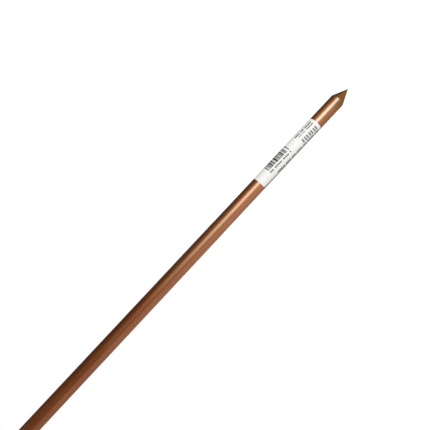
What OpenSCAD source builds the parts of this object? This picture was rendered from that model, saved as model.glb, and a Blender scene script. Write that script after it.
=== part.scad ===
// A ground rod: a round steel rod with a copper skin, turned to a point at one end,
// and the paper label that is stuck round it above the point.
// The rod is drawn as it is driven, along Z with its point down. The origin is the
// middle of the flat face that is struck.

/* [Rod] */
// Diameter over the copper
rod_d = 14.2; // [12.7:0.1:25.4]
// Length from the struck face to the tip of the point
rod_l = 2440; // [1200:10:3050]
// Bevel round the struck face, at 45 degrees
head_bevel = 1.2; // [0.4:0.1:3]

/* [Point] */
// Angle of the point, from one side to the other
point_angle = 48.2; // [30:0.1:90]
// Radius of the blunted tip
tip_r = 0.4; // [0.2:0.1:2]
// Radius that eases the shoulder between shank and point
shoulder_r = 2; // [0.5:0.1:3]

/* [Label] */
// Size of the paper along the rod
label_l = 79.7; // [40:0.1:120]
// Size of the paper round the rod
label_w = 25.4; // [12:0.1:36]
// Thickness of the paper
label_t = 0.1; // [0.05:0.01:0.3]
// Radius of the paper's rounded corners
label_corner_r = 2; // [0.5:0.1:5]
// Gap between the paper's lower end and the shoulder of the point
label_gap = 31.9; // [5:0.1:200]
// Direction that the middle of the paper faces, in degrees from +X
label_facing = -47.5; // [-180:0.5:180]
// How far the paper was stuck on askew, in degrees
label_skew = 1; // [0:0.1:2]

/* [Hidden] */
$fn = 96;

rod_r = rod_d / 2;

// The cone, if it ran to a sharp apex, would end this far beyond the blunted tip.
half_angle = point_angle / 2;
apex_z = -rod_l - tip_r * (1 / sin(half_angle) - 1);
shoulder_z = apex_z + rod_r / tan(half_angle);

// The shoulder's easing starts this far above and ends this far along the cone.
easing = shoulder_r * tan(half_angle / 2);
arc_steps = 8;

// The paper is bent from a wider strip. Its long edges, which run askew, are then trimmed.
label_mid_z = shoulder_z + label_gap + label_l / 2;
label_wrap = label_w / rod_d * 360 / PI;
trim_w = 1 + label_l / 2 * tan(label_skew);
strip_wrap = (label_w + 2 * trim_w) / rod_d * 360 / PI;

// Points along an arc in the rod's section; angles are measured from straight out of the axis
function arc(centre, radius, from_angle, to_angle) = [
    for (step = [0:arc_steps])
        let (angle = from_angle + (to_angle - from_angle) * step / arc_steps)
        centre + radius * [cos(angle), sin(angle)]
];

// Half of the rod's section, from the struck face to the tip
module rod_profile() {
    polygon(concat(
        [[0, 0], [rod_r - head_bevel, 0], [rod_r, -head_bevel]],
        arc([rod_r - shoulder_r, shoulder_z + easing], shoulder_r, 0, -half_angle),
        arc([0, tip_r - rod_l], tip_r, -half_angle, -90)
    ));
}

module rod() {
    color([0.72, 0.46, 0.31])
    rotate_extrude() rod_profile();
}

// What is trimmed off along one long edge, laid flat: the edge is X = 0, with the paper on
// its -X side, and the trimmed piece takes in the two rounded corners
module trimming() {
    straight_l = label_l - 2 * label_corner_r;
    difference() {
        translate([-label_corner_r, -label_l]) square([label_corner_r + 2 * trim_w, 2 * label_l]);
        translate([-label_corner_r, -straight_l / 2]) square([label_corner_r, straight_l]);
        for (end = [-1, 1])
            translate([-label_corner_r, end * straight_l / 2]) circle(label_corner_r);
    }
}

// The trimmings as a cutter that passes through the paper from halfway inside the rod
module edge_cutter(side) {
    rotate([0, 0, side * label_wrap / 2])
    rotate([-label_skew, 0, 0])
    translate([rod_r / 2, 0, 0])
    rotate([90, 0, 90])
    linear_extrude(rod_r)
    mirror([side < 0 ? 1 : 0, 0])
    trimming();
}

module label() {
    color("white")
    translate([0, 0, label_mid_z])
    rotate([0, 0, label_facing])
    difference() {
        rotate([0, 0, -strip_wrap / 2])
        rotate_extrude(angle = strip_wrap)
        translate([rod_r, -label_l / 2]) square([label_t, label_l]);
        edge_cutter(-1);
        edge_cutter(1);
    }
}

rod();
label();
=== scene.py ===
"""Dresses the ground rod: copper on shank and point, a printed paper label, lamps, floor and camera."""

import math

import bpy
from mathutils import Matrix, Vector


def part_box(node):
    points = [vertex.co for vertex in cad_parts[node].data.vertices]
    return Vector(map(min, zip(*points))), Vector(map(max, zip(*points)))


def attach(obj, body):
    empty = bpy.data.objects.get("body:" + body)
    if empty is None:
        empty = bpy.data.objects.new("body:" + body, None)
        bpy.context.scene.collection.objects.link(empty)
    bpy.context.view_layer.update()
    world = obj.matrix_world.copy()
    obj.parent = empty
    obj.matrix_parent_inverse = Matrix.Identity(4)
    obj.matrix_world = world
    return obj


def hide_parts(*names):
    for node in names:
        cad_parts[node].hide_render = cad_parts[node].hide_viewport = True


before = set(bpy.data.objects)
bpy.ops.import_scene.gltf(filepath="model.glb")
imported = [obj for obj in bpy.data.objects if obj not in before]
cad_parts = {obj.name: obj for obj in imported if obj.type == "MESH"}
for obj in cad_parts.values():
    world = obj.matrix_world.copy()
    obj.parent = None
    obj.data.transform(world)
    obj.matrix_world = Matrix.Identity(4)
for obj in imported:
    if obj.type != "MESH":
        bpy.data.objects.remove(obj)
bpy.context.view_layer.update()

MM = 0.001

# The rod runs along Z with its point down, and -Y is the side that the photograph shows. Where nothing else
# is said, heights are in metres above the tip, azimuths in degrees from -Y towards +X, and colours linear.
ROD_LOW, ROD_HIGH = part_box("rod")
TIP_Z = ROD_LOW.z
ROD_RADIUS = (ROD_HIGH.x - ROD_LOW.x) / 2

# Label: the frame gives its length and its middle, and the rest is as the CAD has it
LABEL_LOW, LABEL_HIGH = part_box("label")
LABEL_LENGTH = LABEL_HIGH.z - LABEL_LOW.z
LABEL_MIDDLE = (LABEL_LOW.z + LABEL_HIGH.z) / 2
LABEL_WIDTH = 25.4 * MM
LABEL_THICKNESS = 0.1 * MM
LABEL_CORNER = 2 * MM
# The direction that its middle faces, from +X towards +Y, and how far it is stuck on askew
LABEL_FACING = math.radians(-47.5)
LABEL_SKEW = math.radians(1.0)

# The label's mesh: the widest gaps between its lines, and the steps and columns of a rounded corner. The
# corner turns a little less than a right angle, so that no face at the label's ends is without width.
LABEL_STEP_ALONG = 2 * MM
LABEL_STEP_ACROSS = 0.35 * MM
CORNER_STEPS = 8
CORNER_TURN = math.radians(88.0)
CORNER_COLUMNS = (0.25, 0.5, 0.75, 1.0)

# Print, in millimetres from the label's middle: along runs up the rod, and across runs round it.
# Bars and the gaps after them are these whole numbers of a module in turn, and ink widens each bar.
MODULE = 0.5
BAR_MODULES = (1, 2, 1, 3, 2, 1, 1, 2, 1, 4)
GAP_MODULES = (1, 1, 2, 1, 1, 1, 1)
INK_SPREAD = 0.07
BARS_FROM, BARS_TO = 0.2, 26.2
BARS_ACROSS, BARS_HEIGHT = -3.8, 10.0
# A lone bar stands before them
LONE_BAR_AT, LONE_BAR_WIDTH = -2.9, 1.0
# Tall pairs have a thick bar and a thin one. In every other pair, from the first on, the thin one leads.
PAIRS = 7
PAIRS_FROM, PAIR_PITCH = -36.8, 2.95
PAIRS_ACROSS, PAIRS_HEIGHT = -9.7, 4.2
THICK_WIDTH, THIN_WIDTH = 1.05, 0.35
THICK_AFTER_THIN, THIN_AFTER_THICK = 0.7, 1.5
# Rows of dashes: where a row starts along and across, the dashes in each of its groups, their pitch, and
# the length and width of a dash. One dash is left out between groups.
DASH_ROWS = (
    (-2.6, -6.9, (1, 5, 6, 3), 1.6, 1.2, 1.5),
    (-36.8, -0.5, (8, 4, 6), 1.1, 0.85, 1.6),
    (-36.8, -2.9, (8,), 1.1, 0.8, 1.4),
    (-26.0, -2.9, (3, 4), 1.1, 0.6, 1.1),
    (-36.85, -12.35, (5, 8, 4, 7, 5, 6, 9), 1.15, 0.95, 1.6),
)

# Noise: its repeats in a metre, the share of them along the rod, and a shift that sets it apart
STREAKS = {"scale": 900.0, "along": 0.008}
BANDS = {"scale": 420.0, "along": 0.02, "shift": (3.0, 1.0, 0.0)}
PATCHES = {"scale": 150.0, "along": 0.12, "shift": (5.0, 2.0, 1.0)}
CLOUDS = {"scale": 110.0, "along": 0.25, "shift": (0.0, 7.0, 2.0)}
MOTTLE = {"scale": 700.0}
GRAIN = {"scale": 2500.0}
NOISE_DETAIL = 3.0

# Copper: the shank's streaks, from dark to light between two values of their noise
SHANK_DARK, SHANK_LIGHT = (0.327, 0.152, 0.060), (0.395, 0.190, 0.076)
STREAK_VALUES = (0.35, 0.65)
# Washes over them, each with two values of its noise and the share of it that shows at these values
REDDISH = (0.410, 0.176, 0.079)
REDDISH_VALUES, REDDISH_SHARES = (0.44, 0.60), (0.0, 0.8)
DULL = (0.362, 0.163, 0.071)
DULL_VALUES, DULL_SHARES = (0.45, 0.65), (0.0, 0.7)
BROWN = (0.30, 0.088, 0.045)
BROWN_VALUES, BROWN_SHARES = (0.40, 0.60), (0.48, 0.12)
# Heights between which the shank browns away from the point, and turns golden and then olive towards it
BROWN_HEIGHTS = (160 * MM, 300 * MM)
GOLDEN = (0.374, 0.185, 0.067)
GOLDEN_HEIGHTS = (62 * MM, 46 * MM)
OLIVE = (0.24, 0.130, 0.030)
OLIVE_HEIGHTS = (27 * MM, 19 * MM)
# How far clouds shift the golden and olive edges, from the lowest noise to the highest
EDGE_WANDER = 16 * MM
# The metal's roughness at two values of the streaks, and the smooth drawn skin over it
METAL_ROUGHNESS_VALUES, METAL_ROUGHNESS = (0.3, 0.7), (0.52, 0.48)
SKIN_ROUGHNESS = 0.22
SKIN_IOR = 2.0
DIE_LINE_DEPTH = 0.03 * MM

# Paper and ink, likewise at two values of their noise
PAPER_LIGHT, PAPER_DARK = (0.955, 0.955, 0.935), (0.90, 0.905, 0.885)
PAPER_VALUES = (0.35, 0.65)
PAPER_ROUGHNESS_VALUES, PAPER_ROUGHNESS = (0.3, 0.7), (0.55, 0.7)
PAPER_GRAIN_DEPTH = 0.01 * MM
INK_DARK, INK_PALE = (0.022, 0.021, 0.023), (0.085, 0.085, 0.09)
INK_VALUES = (0.4, 0.7)
INK_ROUGHNESS = 0.6

# Camera: a place on the rod's axis is seen at this pixel and depth, and is this high above the tip. The
# point is turned up from the picture's right by the roll, and leans away.
FRAME_PIXELS = 430
LENS_MM = 50.0
SENSOR_MM = 36.0
PIXELS_PER_TAN = FRAME_PIXELS * LENS_MM / SENSOR_MM
CAMERA_CLIP = (0.01, 100.0)
AXIS_PIXEL = (222.57, 222.05)
AXIS_DEPTH = 0.5615
AXIS_ABOVE_TIP = 0.1770
ROLL = math.radians(46.845)
LEAN = math.radians(5.0)

# World and floor: the glow is what the camera and reflections see, and lights nothing
AMBIENT = 0.40
FLOOR_BELOW_TIP = 0.72
FLOOR_HALF = 12.0
FLOOR_COLOUR = (0.8, 0.8, 0.8, 1.0)
FLOOR_GLOW = 0.92

# Tent, which only reflections see: dusk all round, a warm card on its -X side that turns pale towards the
# back, a gleam high up and a glow low down on its +X side, a warm rear, and a warm board on its floor.
# Two heights, or the two angles of a soft edge, are where a light isn't there yet and where it is in full.
TENT_RADIUS = 1.1
TENT_TOP_Z = 0.6
TENT_ABOVE_FLOOR = 0.01
TENT_SIDES = 64
DUSK_HIGH, DUSK_LOW = (0.142, 0.053, 0.0165), (0.162, 0.080, 0.033)
DUSK_LOW_HEIGHTS = (0.35, 0.0)
CARD, PALE = (1.22, 0.785, 0.505), (0.51, 0.54, 0.575)
CARD_EDGES = ((-24.0, -36.0), (-178.0, -140.0))
PALE_EDGE = (-66.0, -119.0)
# Height, and how bright the card and its pale part are there
CARD_FADE = (
    (-0.70, 0.18), (-0.45, 0.36), (-0.38, 0.49), (-0.32, 0.72), (-0.18, 0.97), (-0.03, 1.00),
    (0.04, 0.94), (0.18, 0.66), (0.32, 0.59), (0.56, 0.50), (0.80, 0.36), (1.20, 0.17))
PALE_FADE = (
    (-0.70, 0.15), (-0.45, 0.34), (-0.38, 0.40), (-0.32, 0.52), (-0.18, 0.78), (-0.03, 1.00),
    (0.04, 1.00), (0.18, 0.93), (0.32, 0.88), (0.56, 0.67), (0.80, 0.48), (1.20, 0.25))
GLEAM = (0.44, 0.21, 0.09)
GLEAM_HEIGHTS = (0.73, 0.84)
GLEAM_EDGES = ((58.0, 72.0), (94.0, 80.0))
GLOW = (0.50, 0.19, 0.04)
GLOW_HEIGHTS = (0.0, -0.2)
GLOW_EDGES = ((15.0, 35.0), (100.0, 60.0))
REAR = (0.80, 0.56, 0.41)
REAR_EDGE = (150.0, 172.0)
# The board comes in between two distances from the rod, and its share falls from one X to another
BOARD = (0.55, 0.33, 0.18)
BOARD_RADII = (TENT_RADIUS * 0.99, TENT_RADIUS * 0.5)
BOARD_X, BOARD_SHARES = (-0.1, 0.45), (1.0, 0.1)
# Above what the photographed side mirrors, the tent is a plain studio, dim at its sides
STUDIO_DIM, STUDIO_BRIGHT = (0.50, 0.35, 0.25), (0.95, 0.68, 0.50)
STUDIO_HEIGHTS = (1.1, 1.7)

# Lamps stand upright at this distance from the rod
LAMP_DISTANCE = 0.8
# The window lights the rod alone. Its brightest line leans towards +X from its bottom to its top.
WINDOW_AZIMUTH = 11.0
WINDOW_WIDTH = 1.2
WINDOW_HEIGHTS = (-0.74, 0.50)
WINDOW_LEAN = (-0.12, 0.12)
WINDOW_PEAK = 6.2
# Height, and the share of the peak there
WINDOW_FADE = (
    (-0.74, 0.65), (-0.40, 0.76), (-0.29, 0.85), (-0.22, 1.0), (-0.12, 0.97), (0.0, 0.68),
    (0.07, 0.56), (0.185, 0.235), (0.25, 0.078), (0.30, 0.018), (0.40, 0.008), (0.50, 0.0))
# Distance from the brightest line, in metres, and the share there
WINDOW_BELL = (
    (0.0, 1.0), (0.06, 0.95), (0.12, 0.80), (0.20, 0.56), (0.30, 0.34), (0.42, 0.17), (0.55, 0.06),
    (0.70, 0.0))
WINDOW_COOL, WINDOW_CREAM, WINDOW_WARM = (0.885, 1.07, 1.31), (1.0, 0.95, 0.78), (1.0, 0.895, 0.69)
WINDOW_CREAM_HEIGHTS = (-0.28, -0.02)
WINDOW_WARM_HEIGHTS = (0.0, 0.25)
WINDOW_SIDES = (1.03, 0.84, 0.69)
WINDOW_SIDES_EDGE = (0.08, 0.40)
# The key lights the matt paper and the floor
KEY_AZIMUTH = 3.0
KEY_WIDTH = 0.6
KEY_HEIGHTS = (-0.35, 0.15)
KEY_RADIANCE = 5.3


class Nodes:
    """The node tree of a material, lamp or world, with short calls to add and join nodes."""

    def __init__(self, owner, kind):
        owner.use_nodes = True
        self.tree = owner.node_tree
        self.tree.nodes.clear()
        self.output = self.add(f"ShaderNodeOutput{kind}")

    def add(self, kind, inputs=None, **settings):
        node = self.tree.nodes.new(kind)
        for key, value in settings.items():
            setattr(node, key, value)
        for key, value in (inputs or {}).items():
            self.feed(node.inputs[key], value)
        return node

    def feed(self, socket, value):
        """Links the value to the socket if it is a socket itself, and otherwise sets it there."""
        if isinstance(value, bpy.types.NodeSocket):
            self.tree.links.new(value, socket)
        else:
            socket.default_value = value

    def finish(self, surface):
        self.tree.links.new(surface, self.output.inputs["Surface"])

    def math(self, operation, a, b=0.0):
        return self.add("ShaderNodeMath", {0: a, 1: b}, operation=operation).outputs[0]

    def parts(self, place):
        """The X, Y and Z of a place, by these names."""
        return self.add("ShaderNodeSeparateXYZ", {0: place}).outputs

    def height(self, z):
        """The height above the tip."""
        return self.math("SUBTRACT", z, TIP_Z)

    def spread(self, value, low, high, to_low=0.0, to_high=1.0):
        """Maps low to to_low and high to to_high, and holds it there beyond them."""
        inputs = {"Value": value, "From Min": low, "From Max": high, "To Min": to_low, "To Max": to_high}
        return self.add("ShaderNodeMapRange", inputs).outputs[0]

    def smooth(self, value, low, high):
        """0 at low and 1 at high with eased ends, also where high is the smaller."""
        inputs = {"Value": value, "From Min": low, "From Max": high}
        return self.add("ShaderNodeMapRange", inputs, interpolation_type="SMOOTHSTEP").outputs[0]

    def between(self, value, edge, far_edge):
        """1 between two soft edges and 0 beyond them."""
        return self.math("MULTIPLY", self.smooth(value, *edge), self.smooth(value, *far_edge))

    def curve(self, value, points):
        """A curve through points of (value, height); all heights are from 0 to 1."""
        low, high = points[0][0], points[-1][0]
        node = self.add("ShaderNodeFloatCurve", {"Value": self.spread(value, low, high)})
        curve = node.mapping.curves[0]
        while len(curve.points) < len(points):
            curve.points.new(0.5, 0.5)
        for point, (at, height) in zip(curve.points, points):
            point.location = ((at - low) / (high - low), height)
        node.mapping.update()
        return node.outputs[0]

    def blend(self, factor, a, b):
        """Mixes two colours, each of which is a triple or a socket."""
        mix = self.add("ShaderNodeMix", {"Factor": factor}, data_type="RGBA")
        for name, value in (("A", a), ("B", b)):
            socket = [i for i in mix.inputs if i.name == name and i.type == "RGBA"][0]
            self.feed(socket, (*value, 1.0) if isinstance(value, tuple) else value)
        return [o for o in mix.outputs if o.type == "RGBA"][0]

    def noise(self, place, scale, along=1.0, shift=(0.0, 0.0, 0.0)):
        """Noise with scale repeats in a metre, and along times as many in the rod's direction."""
        changes = {"Vector": place, "Location": shift, "Scale": (1.0, 1.0, along)}
        moved = self.add("ShaderNodeMapping", changes).outputs[0]
        inputs = {"Vector": moved, "Scale": scale, "Detail": NOISE_DETAIL}
        return self.add("ShaderNodeTexNoise", inputs).outputs[0]

    def bump(self, height, depth):
        """The normal of a surface that noise raises and lowers by up to about half of depth, in metres."""
        return self.add("ShaderNodeBump", {"Height": height, "Distance": depth}).outputs[0]

    def seen(self):
        """1 for what the camera, a reflection or a see-through piece shows, and 0 for light on things."""
        path = self.add("ShaderNodeLightPath").outputs
        mirrored = self.math("ADD", path["Is Camera Ray"], path["Is Glossy Ray"])
        return self.math("MINIMUM", self.math("ADD", mirrored, path["Is Transmission Ray"]), 1.0)


def new_material(name):
    """A material and its nodes; its glow, if any, is only met by rays and isn't searched for."""
    material = bpy.data.materials.new(name)
    s = Nodes(material, "Material")
    material.cycles.emission_sampling = "NONE"
    return material, s


def copper_material():
    """Drawn copper with lengthwise streaks, browner in patches away from the point, and an olive bloom
    towards the point.
    """
    material, s = new_material("copper")
    place = s.add("ShaderNodeTexCoord").outputs["Object"]
    height = s.height(s.parts(place)["Z"])
    streaks = s.noise(place, **STREAKS)
    bands = s.noise(place, **BANDS)
    patches = s.noise(place, **PATCHES)
    clouds = s.noise(place, **CLOUDS)

    colour = s.blend(s.spread(streaks, *STREAK_VALUES), SHANK_DARK, SHANK_LIGHT)
    colour = s.blend(s.spread(patches, *REDDISH_VALUES, *REDDISH_SHARES), colour, REDDISH)
    colour = s.blend(s.spread(bands, *DULL_VALUES, *DULL_SHARES), colour, DULL)
    # The shank turns browner and a little darker in patches away from the point
    brown_patches = s.spread(clouds, *BROWN_VALUES, *BROWN_SHARES)
    colour = s.blend(s.math("MULTIPLY", s.spread(height, *BROWN_HEIGHTS), brown_patches), colour, BROWN)
    wander = s.math("MULTIPLY", s.math("SUBTRACT", clouds, 0.5), EDGE_WANDER)
    wandering = s.math("ADD", height, wander)
    colour = s.blend(s.spread(wandering, *GOLDEN_HEIGHTS), colour, GOLDEN)
    colour = s.blend(s.spread(wandering, *OLIVE_HEIGHTS), colour, OLIVE)

    die_lines = s.bump(streaks, DIE_LINE_DEPTH)
    bsdf = s.add("ShaderNodeBsdfPrincipled", {
        "Base Color": colour,
        "Metallic": 1.0,
        "Roughness": s.spread(streaks, *METAL_ROUGHNESS_VALUES, *METAL_ROUGHNESS),
        "Normal": die_lines,
        "Coat Weight": 1.0,
        "Coat Roughness": SKIN_ROUGHNESS,
        "Coat IOR": SKIN_IOR,
        "Coat Normal": die_lines,
    })
    s.finish(bsdf.outputs[0])
    return material


def paper_material():
    """Matt white label stock, a little mottled."""
    material, s = new_material("paper")
    place = s.add("ShaderNodeTexCoord").outputs["Object"]
    mottle = s.noise(place, **MOTTLE)
    bsdf = s.add("ShaderNodeBsdfPrincipled", {
        "Base Color": s.blend(s.spread(mottle, *PAPER_VALUES), PAPER_LIGHT, PAPER_DARK),
        "Roughness": s.spread(mottle, *PAPER_ROUGHNESS_VALUES, *PAPER_ROUGHNESS),
        "Normal": s.bump(s.noise(place, **GRAIN), PAPER_GRAIN_DEPTH),
    })
    s.finish(bsdf.outputs[0])
    return material


def ink_material():
    """Thermal print: black that lets some paper through."""
    material, s = new_material("ink")
    place = s.add("ShaderNodeTexCoord").outputs["Object"]
    grain = s.noise(place, **GRAIN)
    bsdf = s.add("ShaderNodeBsdfPrincipled", {
        "Base Color": s.blend(s.spread(grain, *INK_VALUES), INK_DARK, INK_PALE),
        "Roughness": INK_ROUGHNESS,
    })
    s.finish(bsdf.outputs[0])
    return material


def bar_marks():
    """A lone bar and a row of bars of different widths."""
    marks = [(LONE_BAR_AT, BARS_ACROSS, LONE_BAR_WIDTH, BARS_HEIGHT)]
    along = BARS_FROM
    k = 0
    while along < BARS_TO:
        bar, gap = BAR_MODULES[k % len(BAR_MODULES)], GAP_MODULES[k % len(GAP_MODULES)]
        marks.append((along, BARS_ACROSS, MODULE * bar + INK_SPREAD, BARS_HEIGHT))
        along += MODULE * (bar + gap)
        k += 1
    return marks


def pair_marks():
    """A row of tall pairs: a thin bar and a thick one, and the other way round."""
    marks = []
    for k in range(PAIRS):
        at = PAIRS_FROM + PAIR_PITCH * k
        thick, thin = (at, at + THIN_AFTER_THICK) if k % 2 else (at + THICK_AFTER_THIN, at)
        marks.append((thick, PAIRS_ACROSS, THICK_WIDTH, PAIRS_HEIGHT))
        marks.append((thin, PAIRS_ACROSS, THIN_WIDTH, PAIRS_HEIGHT))
    return marks


def dash_marks():
    """Rows of dashes in groups."""
    marks = []
    for along, across, groups, pitch, dash, width in DASH_ROWS:
        for count in groups:
            marks += [(along + pitch * k, across, dash, width) for k in range(count)]
            along += pitch * (count + 1)
    return marks


def label_marks():
    """The print as plain blocks, (along, across, length, width) in metres from the label's middle."""
    return [tuple(MM * v for v in mark) for mark in bar_marks() + pair_marks() + dash_marks()]


def is_inked(marks, along, across):
    """Whether a place on the label lies on a mark."""
    return any(m[0] < along < m[0] + m[2] and m[1] < across < m[1] + m[3] for m in marks)


def on_label(along, across, lift):
    """A point of the label, from its distances along and across from the label's middle."""
    azimuth = LABEL_FACING + (across + math.tan(LABEL_SKEW) * along) / ROD_RADIUS
    radius = ROD_RADIUS + lift
    return (radius * math.cos(azimuth), radius * math.sin(azimuth), LABEL_MIDDLE + along)


def cut_lines(edges, low, high, step):
    """Grid lines from low to high: one at every edge of a mark, and no gap wider than step."""
    digits = 7
    tiny = 1e-6
    lines = [low]
    for edge in sorted({round(e, digits) for e in edges if low < e < high} | {high}):
        gap = edge - lines[-1]
        if gap < tiny:
            continue
        parts = max(1, math.ceil(gap / step - tiny))
        lines += [lines[-1] + gap * (i + 1) / parts for i in range(parts)]
    return lines


def label_rows(marks):
    """The label's rows from end to end: how far along each is, and the places of its points across."""
    straight = LABEL_LENGTH / 2 - LABEL_CORNER
    inner = LABEL_WIDTH / 2 - LABEL_CORNER
    along_edges = [m[0] for m in marks] + [m[0] + m[2] for m in marks]
    across_edges = [m[1] for m in marks] + [m[1] + m[3] for m in marks]
    middle = cut_lines(along_edges, -straight, straight, LABEL_STEP_ALONG)
    columns = cut_lines(across_edges, -inner, inner, LABEL_STEP_ACROSS)

    def row(along, rim):
        """A row that reaches rim beyond the inner columns."""
        outer = [inner + rim * share for share in CORNER_COLUMNS]
        return along, [-v for v in reversed(outer)] + columns + outer

    corner = []
    for i in range(CORNER_STEPS + 1):
        turn = CORNER_TURN * (1 - i / CORNER_STEPS)
        corner.append((straight + LABEL_CORNER * math.sin(turn), LABEL_CORNER * math.cos(turn)))
    rows = [row(-along, rim) for along, rim in corner]
    rows += [row(along, LABEL_CORNER) for along in middle[1:-1]]
    rows += [row(along, rim) for along, rim in reversed(corner)]
    return rows


def label_mesh():
    """The label as one thin closed sheet, cut along the edges of its print, which is of another material."""
    marks = label_marks()
    rows = label_rows(marks)
    points = []
    for lift in (LABEL_THICKNESS, 0.0):
        for along, line in rows:
            points += [on_label(along, across, lift) for across in line]
    wide, high = len(rows[0][1]), len(rows)
    under = wide * high

    faces = []
    inks = []
    for i in range(high - 1):
        along = (rows[i][0] + rows[i + 1][0]) / 2
        line = rows[i][1]
        for j in range(wide - 1):
            a, d = i * wide + j, (i + 1) * wide + j
            faces.append((a, a + 1, d + 1, d))
            inks.append(int(is_inked(marks, along, (line[j] + line[j + 1]) / 2)))

    # The underside, and a wall along the outline
    faces += [tuple(under + v for v in reversed(face)) for face in faces]
    right = [i * wide + wide - 1 for i in range(1, high - 1)]
    left = [i * wide for i in range(1, high - 1)]
    outline = [*range(wide), *right, *reversed(range(under - wide, under)), *reversed(left)]
    faces += [(b, a, under + a, under + b) for a, b in zip(outline, outline[1:] + outline[:1])]
    inks += [0] * (len(faces) - len(inks))

    mesh = bpy.data.meshes.new("label_sheet")
    mesh.from_pydata(points, [], faces)
    mesh.materials.append(paper_material())
    mesh.materials.append(ink_material())
    mesh.polygons.foreach_set("material_index", inks)
    mesh.validate()
    return mesh


def make_label():
    sheet = bpy.data.objects.new("label_sheet", label_mesh())
    bpy.context.scene.collection.objects.link(sheet)
    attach(sheet, "root")
    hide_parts("label")
    return sheet


def make_camera():
    """Places the camera from where the rod's axis lies in the picture and how it leans away."""
    tip_way = Vector((math.cos(LEAN) * math.cos(ROLL), math.cos(LEAN) * math.sin(ROLL), -math.sin(LEAN)))
    middle = (FRAME_PIXELS - 1) / 2
    across = (AXIS_PIXEL[0] - middle) / PIXELS_PER_TAN
    down = (AXIS_PIXEL[1] - middle) / PIXELS_PER_TAN
    on_axis = AXIS_DEPTH * Vector((across, -down, -1.0))

    # The frame's X, Y and Z, as directions in the camera's view
    z_seen = -tip_way
    y_seen = (on_axis - on_axis.dot(tip_way) * tip_way).normalized()
    x_seen = y_seen.cross(z_seen)
    turn = Matrix((x_seen, y_seen, z_seen))
    place = Vector((0.0, 0.0, TIP_Z + AXIS_ABOVE_TIP)) - turn @ on_axis

    data = bpy.data.cameras.new("camera")
    data.lens = LENS_MM
    data.sensor_width = SENSOR_MM
    data.clip_start, data.clip_end = CAMERA_CLIP
    camera = bpy.data.objects.new("camera", data)
    bpy.context.scene.collection.objects.link(camera)
    camera.matrix_world = Matrix.Translation(place) @ turn.to_4x4()
    bpy.context.scene.camera = camera


def make_world():
    """White where it is seen, and dimmer as a light."""
    world = bpy.data.worlds.new("world")
    bpy.context.scene.world = world
    world.cycles.sampling_method = "NONE"
    s = Nodes(world, "World")
    level = s.spread(s.seen(), 0.0, 1.0, AMBIENT, 1.0)
    s.finish(s.add("ShaderNodeBackground", {"Color": (1.0, 1.0, 1.0, 1.0), "Strength": level}).outputs[0])


def add_stage(name, points, faces, material):
    mesh = bpy.data.meshes.new(name)
    mesh.from_pydata(points, [], faces)
    mesh.materials.append(material)
    piece = bpy.data.objects.new(name, mesh)
    bpy.context.scene.collection.objects.link(piece)
    return piece


def make_floor():
    """A matt floor that takes shadows, and glows where it is seen."""
    material, s = new_material("floor")
    diffuse = s.add("ShaderNodeBsdfDiffuse", {"Color": FLOOR_COLOUR})
    glow = s.add("ShaderNodeEmission", {"Strength": s.math("MULTIPLY", s.seen(), FLOOR_GLOW)})
    s.finish(s.add("ShaderNodeAddShader", {0: diffuse.outputs[0], 1: glow.outputs[0]}).outputs[0])
    corners = ((-1, -1), (1, -1), (1, 1), (-1, 1))
    points = [(FLOOR_HALF * x, FLOOR_HALF * y, TIP_Z - FLOOR_BELOW_TIP) for x, y in corners]
    return add_stage("floor", points, [(0, 1, 2, 3)], material)


def tent_material():
    """The tent's lights and darks, by height and azimuth."""
    material, s = new_material("tent")
    place = s.parts(s.add("ShaderNodeNewGeometry").outputs["Position"])
    height = s.height(place["Z"])
    azimuth = s.math("DEGREES", s.math("ARCTAN2", place["X"], s.math("MULTIPLY", place["Y"], -1.0)))
    colour = s.blend(s.smooth(height, *DUSK_LOW_HEIGHTS), DUSK_HIGH, DUSK_LOW)

    behind = s.smooth(azimuth, *PALE_EDGE)
    card_level = s.math("MULTIPLY", s.curve(height, CARD_FADE), s.math("SUBTRACT", 1.0, behind))
    pale_level = s.math("MULTIPLY", s.curve(height, PALE_FADE), behind)
    level = s.math("MULTIPLY", s.between(azimuth, *CARD_EDGES), s.math("ADD", card_level, pale_level))
    colour = s.blend(level, colour, s.blend(behind, CARD, PALE))

    for light, heights, edges in ((GLEAM, GLEAM_HEIGHTS, GLEAM_EDGES), (GLOW, GLOW_HEIGHTS, GLOW_EDGES)):
        level = s.math("MULTIPLY", s.between(azimuth, *edges), s.smooth(height, *heights))
        colour = s.blend(level, colour, light)
    colour = s.blend(s.smooth(s.math("ABSOLUTE", azimuth), *REAR_EDGE), colour, REAR)

    squares = s.math("ADD", s.math("POWER", place["X"], 2.0), s.math("POWER", place["Y"], 2.0))
    board = s.smooth(s.math("SQRT", squares), *BOARD_RADII)
    level = s.math("MULTIPLY", board, s.spread(place["X"], *BOARD_X, *BOARD_SHARES))
    colour = s.blend(level, colour, BOARD)

    around = s.math("COSINE", s.math("MULTIPLY", s.math("RADIANS", azimuth), 2.0))
    studio = s.blend(s.smooth(around, -1.0, 1.0), STUDIO_DIM, STUDIO_BRIGHT)
    colour = s.blend(s.smooth(height, *STUDIO_HEIGHTS), colour, studio)
    s.finish(s.add("ShaderNodeEmission", {"Color": colour, "Strength": 1.0}).outputs[0])
    return material


def make_tent():
    """A round wall with a floor, open at the top."""
    low = TIP_Z - FLOOR_BELOW_TIP + TENT_ABOVE_FLOOR
    points = [(0.0, 0.0, low)]
    for z in (low, TENT_TOP_Z):
        for i in range(TENT_SIDES):
            angle = 2 * math.pi * i / TENT_SIDES
            points.append((TENT_RADIUS * math.cos(angle), TENT_RADIUS * math.sin(angle), z))
    faces = []
    for i in range(TENT_SIDES):
        a, b = 1 + i, 1 + (i + 1) % TENT_SIDES
        faces.append((0, a, b))
        faces.append((a, b, TENT_SIDES + b, TENT_SIDES + a))
    tent = add_stage("tent", points, faces, tent_material())
    for kind in ("camera", "diffuse", "transmission", "shadow"):
        setattr(tent, f"visible_{kind}", False)


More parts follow.
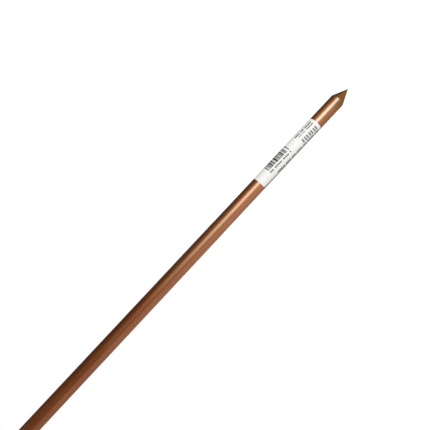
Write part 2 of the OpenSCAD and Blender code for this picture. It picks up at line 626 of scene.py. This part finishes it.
def add_lamp(name, azimuth, width, heights, pieces):
    """An area lamp that lights only these pieces; a strength of 1 in its nodes is a radiance of 1."""
    low, high = heights
    angle = math.radians(azimuth)
    place = LAMP_DISTANCE * Vector((math.sin(angle), -math.cos(angle), 0.0))
    data = bpy.data.lights.new(name, "AREA")
    data.shape = "RECTANGLE"
    data.size, data.size_y = width, high - low
    data.energy = width * (high - low) * math.pi
    lamp = bpy.data.objects.new(name, data)
    bpy.context.scene.collection.objects.link(lamp)
    lamp.rotation_mode = "QUATERNION"
    lamp.rotation_quaternion = place.to_track_quat("Z", "Y")
    lamp.location = (place.x, place.y, TIP_Z + (low + high) / 2)
    lamp.visible_camera = False
    lit = bpy.data.collections.new(f"lit_by_{name}")
    for piece in pieces:
        lit.objects.link(piece)
    lamp.light_linking.receiver_collection = lit
    return Nodes(data, "Light")


def make_window(pieces):
    """A soft window light, cool and bright low down and warm towards its top and sides."""
    s = add_lamp("window", WINDOW_AZIMUTH, WINDOW_WIDTH, WINDOW_HEIGHTS, pieces)
    place = s.parts(s.add("ShaderNodeNewGeometry").outputs["Position"])
    height = s.height(place["Z"])
    angle = math.radians(WINDOW_AZIMUTH)
    x_part = s.math("MULTIPLY", place["X"], math.cos(angle))
    across = s.math("ADD", x_part, s.math("MULTIPLY", place["Y"], math.sin(angle)))
    brightest = s.spread(height, *WINDOW_HEIGHTS, *WINDOW_LEAN)
    aside = s.math("ABSOLUTE", s.math("SUBTRACT", across, brightest))

    level = s.math("MULTIPLY", s.curve(aside, WINDOW_BELL), s.curve(height, WINDOW_FADE))
    level = s.math("MULTIPLY", level, WINDOW_PEAK)
    colour = s.blend(s.smooth(height, *WINDOW_CREAM_HEIGHTS), WINDOW_COOL, WINDOW_CREAM)
    colour = s.blend(s.smooth(height, *WINDOW_WARM_HEIGHTS), colour, WINDOW_WARM)
    colour = s.blend(s.smooth(aside, *WINDOW_SIDES_EDGE), colour, WINDOW_SIDES)
    s.finish(s.add("ShaderNodeEmission", {"Color": colour, "Strength": level}).outputs[0])


def make_key(pieces):
    """A smaller, even lamp from the same side."""
    s = add_lamp("key", KEY_AZIMUTH, KEY_WIDTH, KEY_HEIGHTS, pieces)
    s.finish(s.add("ShaderNodeEmission", {"Strength": KEY_RADIANCE}).outputs[0])


make_camera()
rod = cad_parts["rod"]
rod.data.materials.clear()
rod.data.materials.append(copper_material())
label = make_label()
make_world()
floor = make_floor()
make_tent()
make_window([rod])
make_key([label, floor])
bpy.context.scene.view_settings.view_transform = "Standard"
